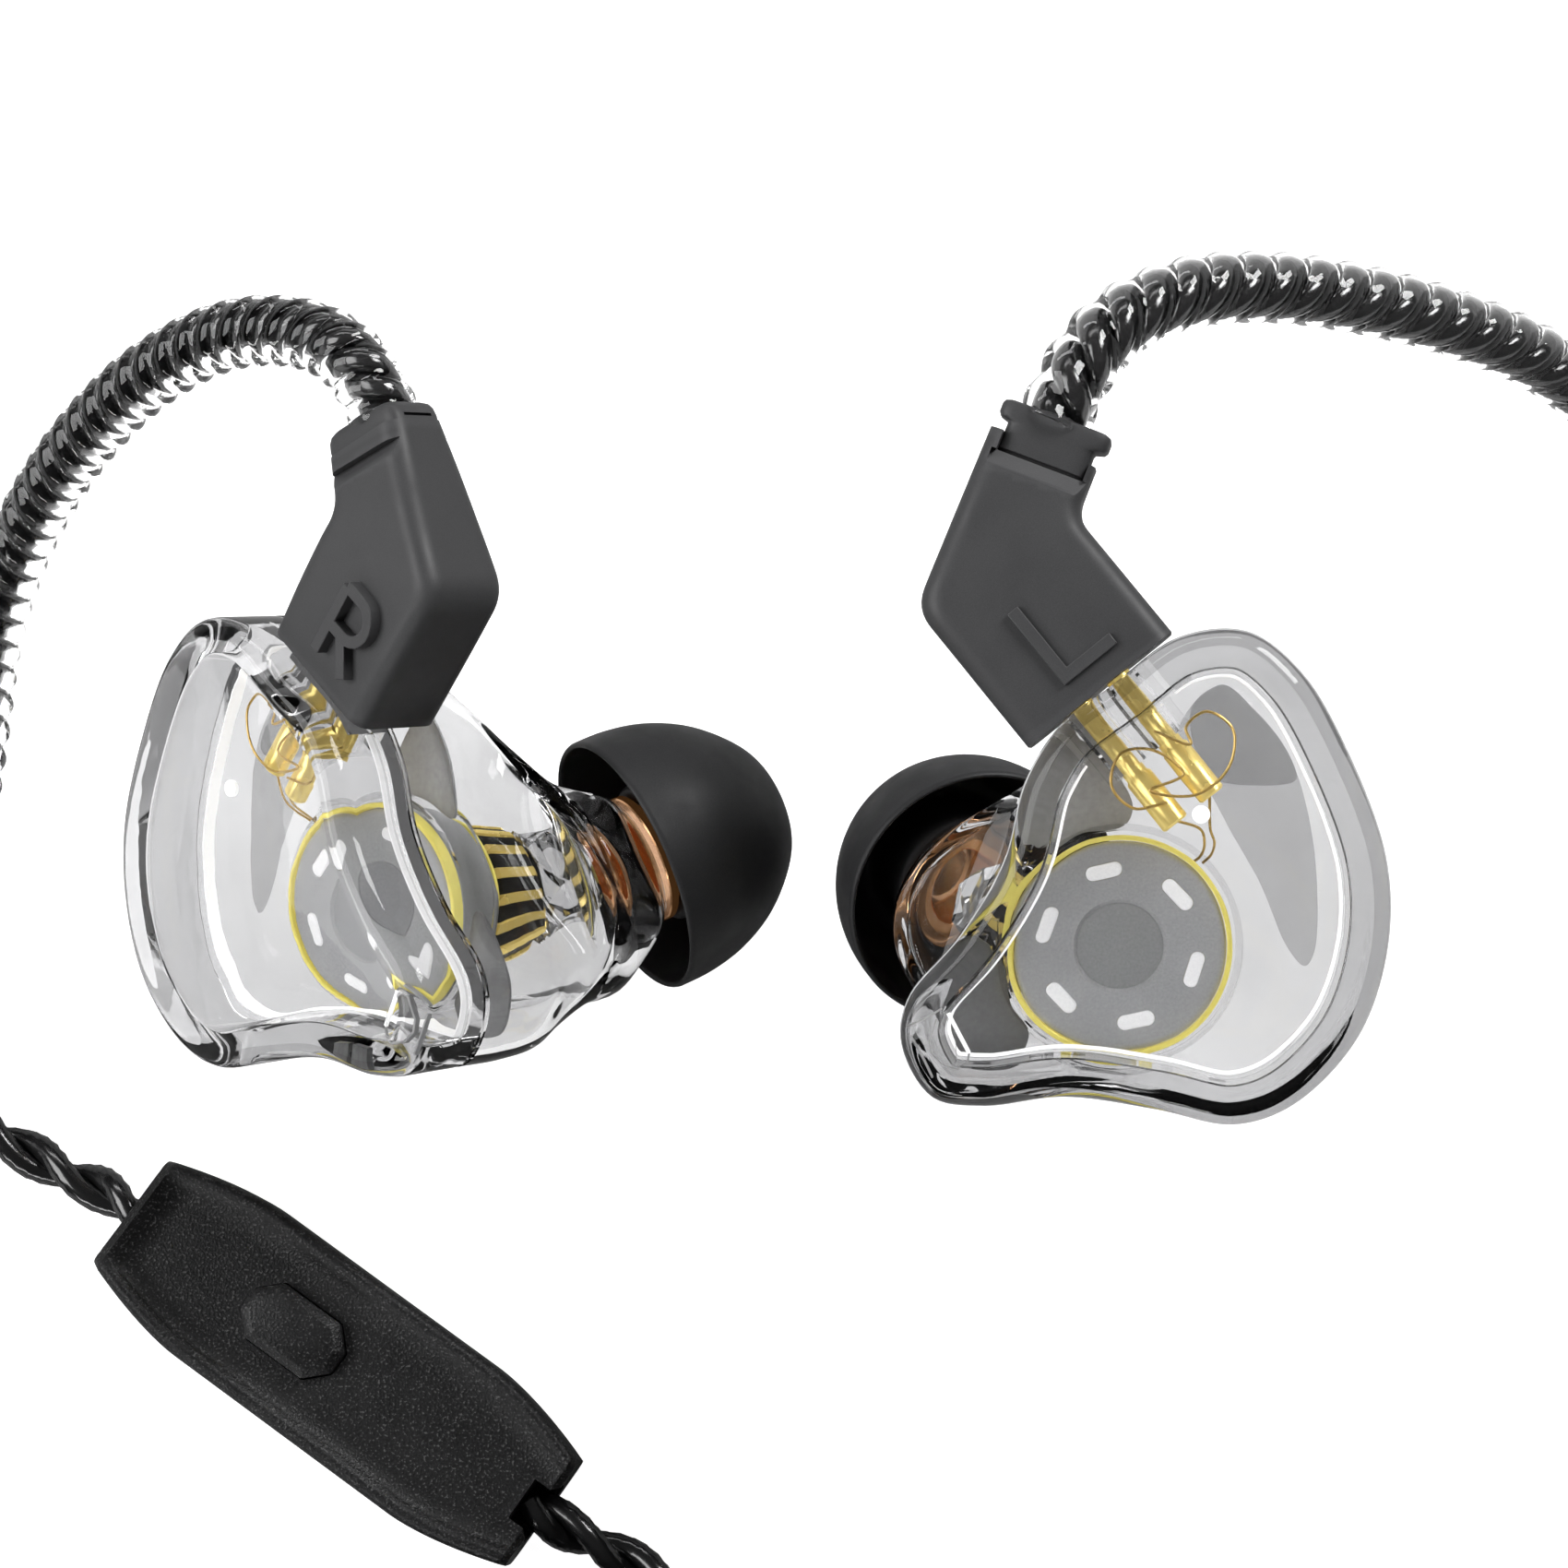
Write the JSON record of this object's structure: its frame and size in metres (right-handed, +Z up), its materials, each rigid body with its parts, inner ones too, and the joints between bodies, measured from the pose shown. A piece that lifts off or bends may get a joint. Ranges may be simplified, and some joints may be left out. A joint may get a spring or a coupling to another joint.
{
  "type": "in-ear monitors",
  "caption": "Clear-shelled in-ear monitors with silicone tips on a detachable twisted cable with clear ear hooks, an in-line button remote and a coiled lead to its plug.",
  "frame": {"origin": "on the table under the middle of the two earpieces with their ear hooks", "axes": "+Z up; +X from the right earpiece to the left one, along the pair; +Y away from the stored cable, towards the top of the ear hooks"},
  "size_m": [0.0996, 0.1256, 0.0337],
  "materials": {
    "shell_clear": "clear, lightly smoke-tinted, polished",
    "nozzle_copper": "polished copper-coloured plating",
    "mesh_steel": "fine woven mesh",
    "tip_silicone": "matte soft silicone",
    "driver_can": "satin grey",
    "gold": "polished gold plating",
    "magnet_steel": "nickel plated",
    "coil_copper": "enamelled copper wire",
    "diaphragm_film": "thin film",
    "flex_lead": "polyimide film",
    "hood_plastic": "dark grey, finely matte",
    "sleeve_clear": "clear glossy heat-shrunk sleeve",
    "cord_jacket": "black, semi-gloss, twisted pair",
    "plug_plastic": "black moulded, satin",
    "tie_strap": "black hook-and-loop strap",
    "remote_plastic": "black, fine spark-eroded grain",
    "board": "green solder mask",
    "switch_metal": "stamped steel",
    "jack_insulator": "black"
  },
  "bodies": {
    "cable": {"left_connector_hood": "hood_plastic", "left_strain_relief": "hood_plastic", "left_pin_a": "gold", "left_pin_b": "gold", "left_ear_hook": "sleeve_clear", "right_connector_hood": "hood_plastic", "right_strain_relief": "hood_plastic", "right_pin_a": "gold", "right_pin_b": "gold", "right_ear_hook": "sleeve_clear", "right_upper_cable": "cord_jacket", "right_lower_cable": "cord_jacket", "left_branch_cable": "cord_jacket", "main_cable_start": "cord_jacket", "main_cable_tail": "cord_jacket", "main_cable_coil": "cord_jacket", "coil_tie": "tie_strap", "cable_splitter": "plug_plastic", "remote_housing_bottom": "remote_plastic", "remote_housing_top": "remote_plastic", "remote_board": "board", "remote_switch": "switch_metal", "remote_microphone": "switch_metal", "plug_strain_relief": "plug_plastic", "plug_body": "plug_plastic", "jack_core": "jack_insulator", "jack_sleeve": "gold", "jack_ring_2": "gold", "jack_ring_1": "gold", "jack_tip": "gold"},
    "remote_button": {"remote_button": "remote_plastic"},
    "left_earpiece": {"left_faceplate": "shell_clear", "left_cavity_shell": "shell_clear", "left_nozzle": "nozzle_copper", "left_nozzle_mesh": "mesh_steel", "left_driver_can": "driver_can", "left_driver_ring": "gold", "left_driver_magnet": "magnet_steel", "left_socket_block": "shell_clear", "left_socket_a": "gold", "left_socket_b": "gold", "left_flex_lead": "flex_lead"},
    "left_ear_tip": {"left_ear_tip": "tip_silicone"},
    "left_diaphragm": {"left_driver_diaphragm": "diaphragm_film", "left_driver_voice_coil": "coil_copper"},
    "right_earpiece": {"right_faceplate": "shell_clear", "right_cavity_shell": "shell_clear", "right_nozzle": "nozzle_copper", "right_nozzle_mesh": "mesh_steel", "right_driver_can": "driver_can", "right_driver_ring": "gold", "right_driver_magnet": "magnet_steel", "right_socket_block": "shell_clear", "right_socket_a": "gold", "right_socket_b": "gold", "right_flex_lead": "flex_lead"},
    "right_ear_tip": {"right_ear_tip": "tip_silicone"},
    "right_diaphragm": {"right_driver_diaphragm": "diaphragm_film", "right_driver_voice_coil": "coil_copper"}
  },
  "joints": [
    {"name": "left_unplug", "type": "slide", "parent": "cable", "child": "left_earpiece", "axis": [0.6234, -0.7761, -0.0956], "range_m": [0, 0.0045]},
    {"name": "left_tip_pull", "type": "slide", "parent": "left_earpiece", "child": "left_ear_tip", "axis": [-0.2815, 0.527, -0.8019], "range_m": [0, 0.0032]},
    {"name": "left_diaphragm_travel", "type": "slide", "parent": "left_earpiece", "child": "left_diaphragm", "axis": [-0.1167, -0.2133, 0.97], "range_m": [-0.0002, 0.0002], "stiffness_N_per_m": 400},
    {"name": "right_unplug", "type": "slide", "parent": "cable", "child": "right_earpiece", "axis": [-0.4742, -0.64, -0.6046], "range_m": [0, 0.0045]},
    {"name": "right_tip_pull", "type": "slide", "parent": "right_earpiece", "child": "right_ear_tip", "axis": [0.8446, 0.4467, -0.2953], "range_m": [0, 0.0032]},
    {"name": "right_diaphragm_travel", "type": "slide", "parent": "right_earpiece", "child": "right_diaphragm", "axis": [-0.6455, -0.2144, 0.7331], "range_m": [-0.0002, 0.0002], "stiffness_N_per_m": 400},
    {"name": "button_press", "type": "slide", "parent": "cable", "child": "remote_button", "axis": [0, 0, -1], "range_m": [0, 0.0004], "stiffness_N_per_m": 2000}
  ]
}
